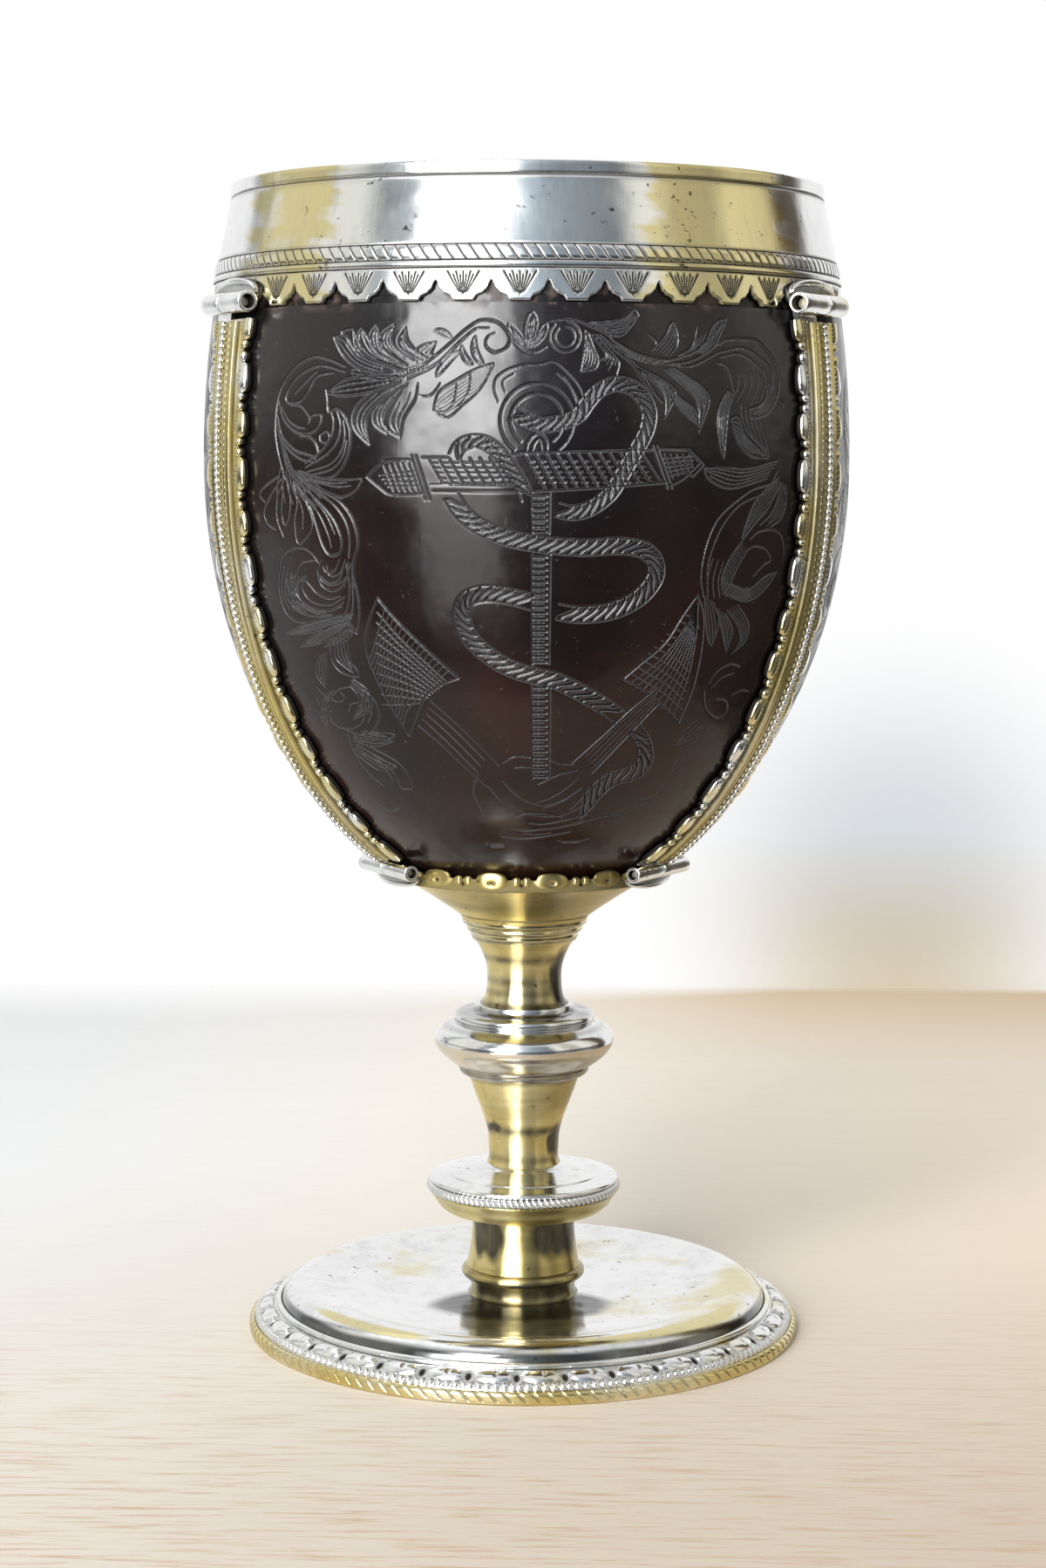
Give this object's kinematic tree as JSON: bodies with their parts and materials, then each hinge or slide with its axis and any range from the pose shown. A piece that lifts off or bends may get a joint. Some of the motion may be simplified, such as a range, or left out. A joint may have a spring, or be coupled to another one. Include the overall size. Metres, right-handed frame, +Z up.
{
  "type": "mounted coconut cup",
  "caption": "Engraved coconut shell goblet in a silver mount: flaring collar, hinged beaded straps, calyx, knopped stem and domed foot with an ornamented border.",
  "frame": {"origin": "centre of the foot on the surface that the cup stands on", "axes": "+Z up along the stem; the engraved front panel faces -Y, between the left and right straps, and the third strap is at +Y"},
  "size_m": [0.095, 0.0971, 0.17],
  "materials": {
    "silver": "worn polished silver with fine scratches and tarnish in the recesses",
    "gilt_silver": "silver with a warm yellow tarnish, like worn gilding, dark in the recesses",
    "coconut_shell": "polished near-black coconut shell, cut with shallow pale engraved lines",
    "pin_wire": "drawn wire, dull and tarnished"
  },
  "bodies": {
    "cup_body": {"foot_border": "silver", "foot_edge_wire": "gilt_silver", "foot_inner_wire": "silver", "foot_dome": "silver", "stem_base": "gilt_silver", "drum_base_ring": "gilt_silver", "stem_drum": "gilt_silver", "flange_disc_lower": "gilt_silver", "flange_rope_wire": "silver", "flange_disc_upper": "silver", "stem_cone": "gilt_silver", "knop_lower": "gilt_silver", "knop_upper": "silver", "stem_neck": "gilt_silver", "neck_ring": "silver", "calyx": "gilt_silver", "calyx_border": "gilt_silver", "coconut_bowl": "coconut_shell", "rim_collar": "silver", "lip_ring": "silver", "rim_seat_sleeve": "silver", "strap_right": "silver", "strap_back": "silver", "strap_left": "silver", "strap_moulding_right": "gilt_silver", "strap_moulding_back": "gilt_silver", "strap_moulding_left": "gilt_silver", "strap_bead_wire_right": "silver", "strap_bead_wire_back": "silver", "strap_bead_wire_left": "silver", "rim_hinge_leaf_right": "silver", "rim_hinge_leaf_back": "silver", "rim_hinge_leaf_left": "silver", "calyx_hinge_leaf_right": "silver", "calyx_hinge_leaf_back": "silver", "calyx_hinge_leaf_left": "silver"},
    "upper_pin_right": {"upper_hinge_pin_right": "pin_wire"},
    "upper_pin_back": {"upper_hinge_pin_back": "pin_wire"},
    "upper_pin_left": {"upper_hinge_pin_left": "pin_wire"},
    "lower_pin_right": {"lower_hinge_pin_right": "pin_wire"},
    "lower_pin_back": {"lower_hinge_pin_back": "pin_wire"},
    "lower_pin_left": {"lower_hinge_pin_left": "pin_wire"}
  },
  "joints": [
    {"name": "upper_pin_right_slide", "type": "slide", "parent": "cup_body", "child": "upper_pin_right", "axis": [0.5, 0.866, 0], "range_m": [0, 0.015]},
    {"name": "upper_pin_back_slide", "type": "slide", "parent": "cup_body", "child": "upper_pin_back", "axis": [-1, 0, 0], "range_m": [0, 0.015]},
    {"name": "upper_pin_left_slide", "type": "slide", "parent": "cup_body", "child": "upper_pin_left", "axis": [0.5, -0.866, 0], "range_m": [0, 0.015]},
    {"name": "lower_pin_right_slide", "type": "slide", "parent": "cup_body", "child": "lower_pin_right", "axis": [0.5, 0.866, 0], "range_m": [0, 0.017]},
    {"name": "lower_pin_back_slide", "type": "slide", "parent": "cup_body", "child": "lower_pin_back", "axis": [-1, 0, 0], "range_m": [0, 0.017]},
    {"name": "lower_pin_left_slide", "type": "slide", "parent": "cup_body", "child": "lower_pin_left", "axis": [0.5, -0.866, 0], "range_m": [0, 0.017]}
  ]
}
